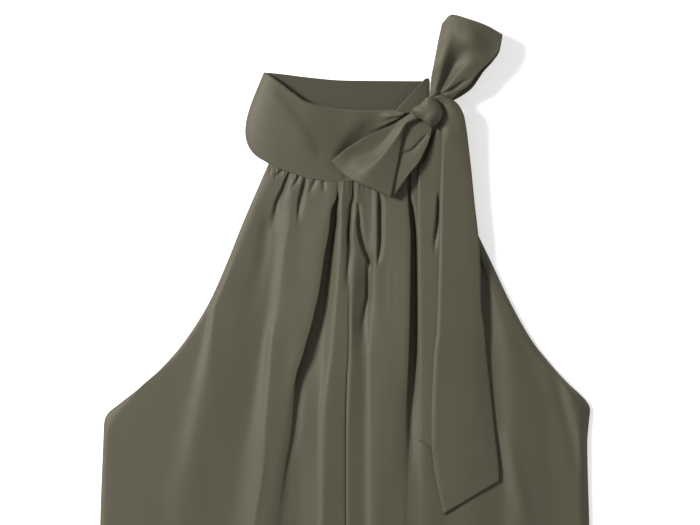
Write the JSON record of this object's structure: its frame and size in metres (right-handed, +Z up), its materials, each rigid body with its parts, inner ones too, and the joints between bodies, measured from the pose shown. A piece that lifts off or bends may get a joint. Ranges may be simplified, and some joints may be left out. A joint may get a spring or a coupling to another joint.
{
  "type": "halter neck top",
  "caption": "Sleeveless halter neck top in satin crepe, gathered into a wide neckband that is tied in a bow at one side of the neck, laid out flat, face up.",
  "frame": {"origin": "on the surface that the top lies on, under the centre front seam, level with the underarms", "axes": "+Z up from the surface, +Y from the hem to the neck, +X to the side with the bow"},
  "size_m": [0.497, 0.7454, 0.0365],
  "materials": {
    "panel_cloth": "satin-backed crepe, soft sheen",
    "band_cloth": "satin-backed crepe, two layers, soft sheen"
  },
  "bodies": {
    "root": {"front_left": "panel_cloth", "front_right": "panel_cloth", "back": "panel_cloth", "neckband": "band_cloth", "bow_knot": "band_cloth", "bow_loop_upper": "band_cloth", "bow_loop_lower": "band_cloth", "tie_tail_over": "band_cloth", "tie_tail_under": "band_cloth"}
  },
  "joints": []
}
